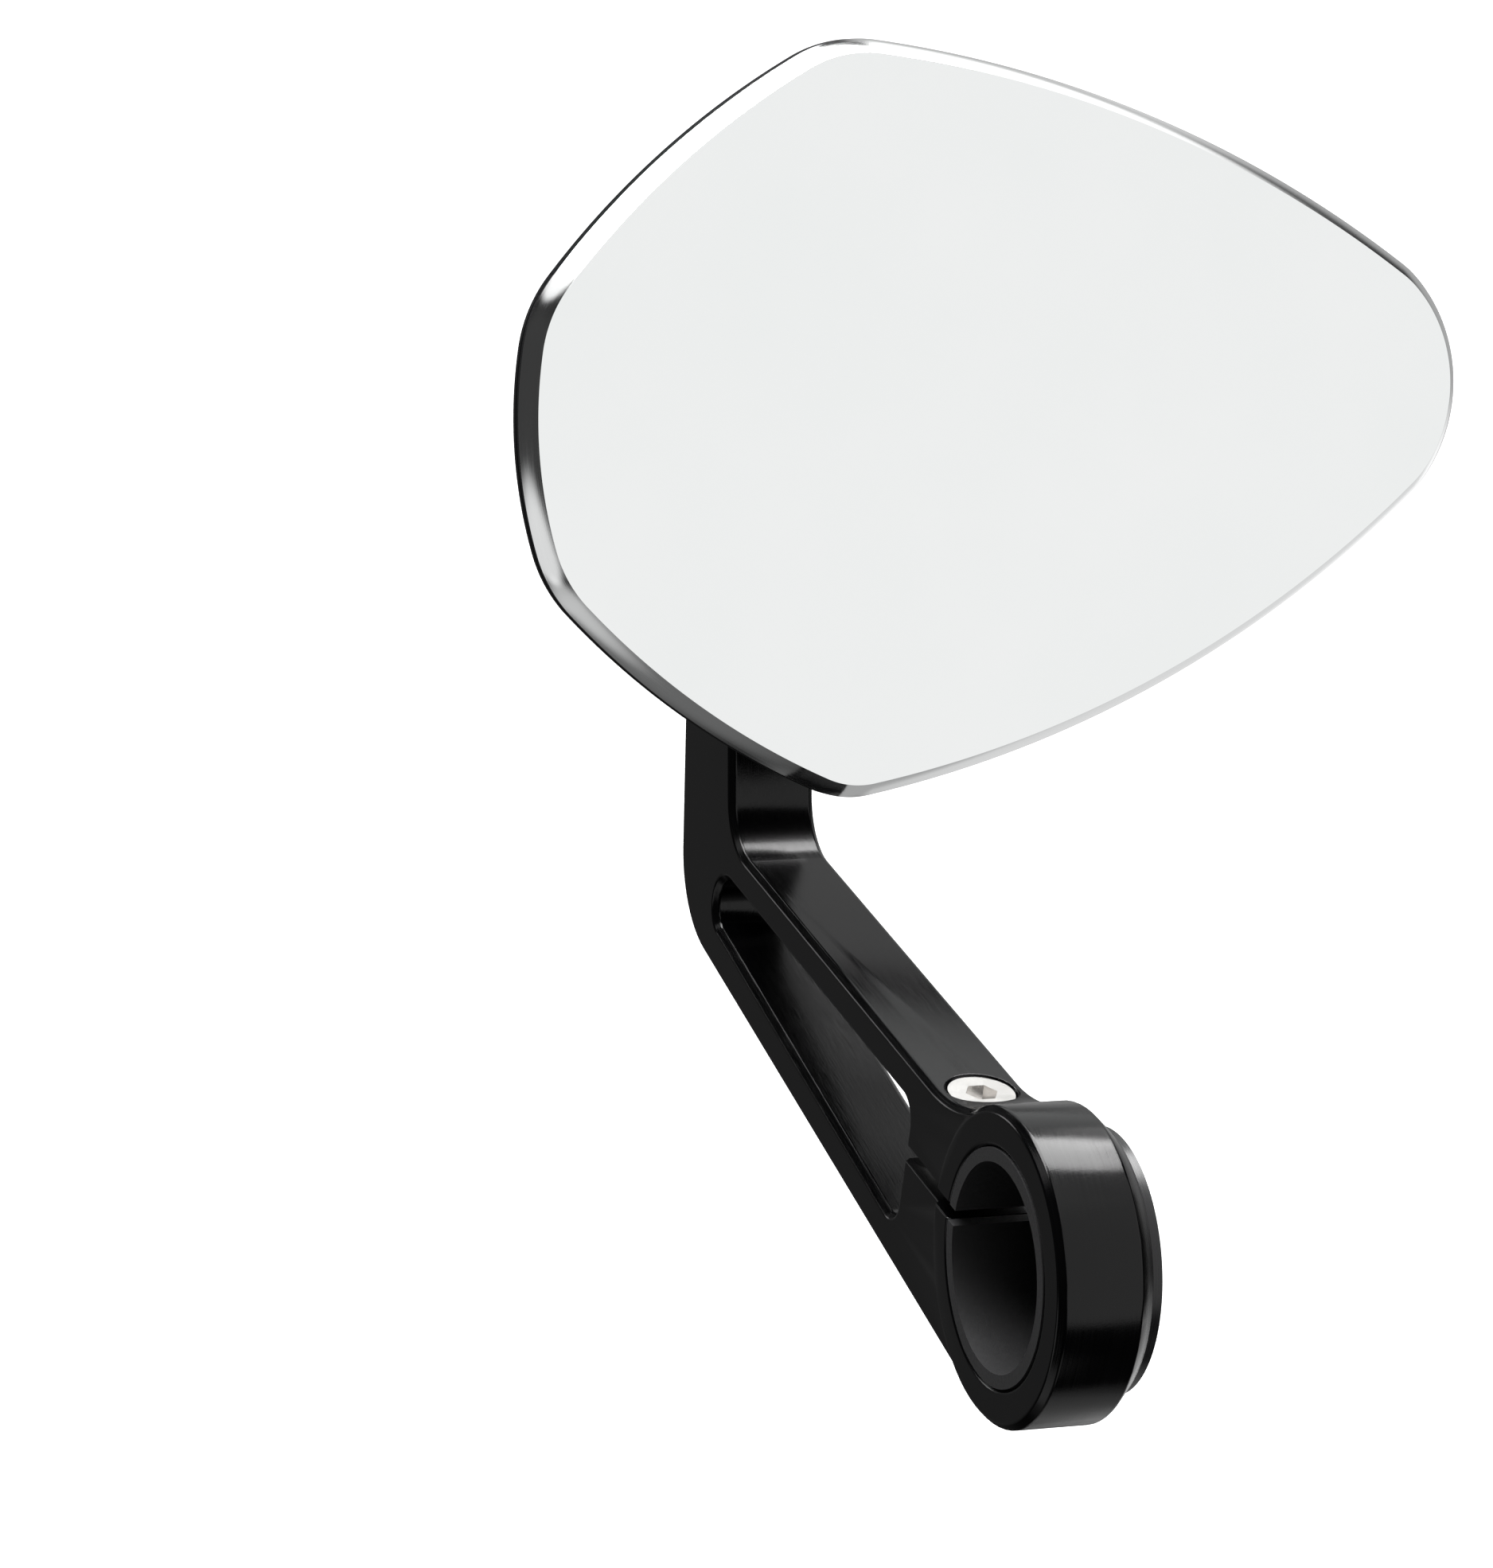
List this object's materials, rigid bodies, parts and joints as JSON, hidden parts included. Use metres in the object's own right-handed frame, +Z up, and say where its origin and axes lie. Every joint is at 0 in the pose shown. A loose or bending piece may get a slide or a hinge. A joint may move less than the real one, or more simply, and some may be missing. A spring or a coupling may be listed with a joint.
{
  "type": "bar-end mirror",
  "caption": "Bar-end mirror: a ring clamps on the handlebar's end, and an open arm carries a tilting, swivelling bevelled mirror on a ball joint.",
  "frame": {"origin": "centre of the clamp ring, on the handlebar's axis", "axes": "+X along the handlebar, outboard; +Y forward, away from the rider; +Z up"},
  "size_m": [0.1161, 0.1143, 0.1457],
  "materials": {
    "black_anodised": "milled and black anodised, satin",
    "mirror_face": "polished plate with a polished bevel",
    "stainless": "bright stainless steel",
    "black_steel": "black oxide",
    "spring_steel": "tempered spring steel",
    "nylon": "natural nylon",
    "black_nylon": "glass-filled nylon, black",
    "bronze": "oiled bearing bronze",
    "rubber_black": "moulded rubber",
    "bond": "adhesive film"
  },
  "bodies": {
    "bar_mount": {"bar_sleeve": "black_nylon"},
    "arm": {"arm": "black_anodised", "end_cap": "black_anodised", "cap_ring": "rubber_black", "clamp_screw": "stainless", "thrust_cup": "bronze", "disc_springs": "spring_steel", "adjuster_plug": "black_anodised", "lock_screw": "black_steel"},
    "liner": {"liner_front": "nylon", "liner_rear": "nylon"},
    "stud": {"ball_stud": "stainless", "stud_nut": "stainless", "stud_washer": "stainless", "swivel_spring": "spring_steel"},
    "head": {"mirror_plate": "mirror_face", "bond_film": "bond", "mirror_back": "black_anodised", "mount_hub": "black_anodised", "hub_screws": "black_steel", "swivel_bush": "bronze"}
  },
  "joints": [
    {"name": "arm_swing", "type": "hinge", "parent": "bar_mount", "child": "arm", "pos_m": [0, 0, 0], "axis": [1, 0, 0], "range_deg": [-90, 60]},
    {"name": "head_yaw", "type": "hinge", "parent": "arm", "child": "liner", "pos_m": [0, 0.0848, 0.0853], "axis": [0, 0, 1], "range_deg": [-15, 15]},
    {"name": "head_pitch", "type": "hinge", "parent": "liner", "child": "stud", "pos_m": [0, 0.0848, 0.0853], "axis": [1, 0, 0], "range_deg": [-15, 12]},
    {"name": "head_turn", "type": "hinge", "parent": "stud", "child": "head", "pos_m": [0, 0.0848, 0.0853], "axis": [0, 1, 0], "range_deg": [-30, 25]}
  ]
}
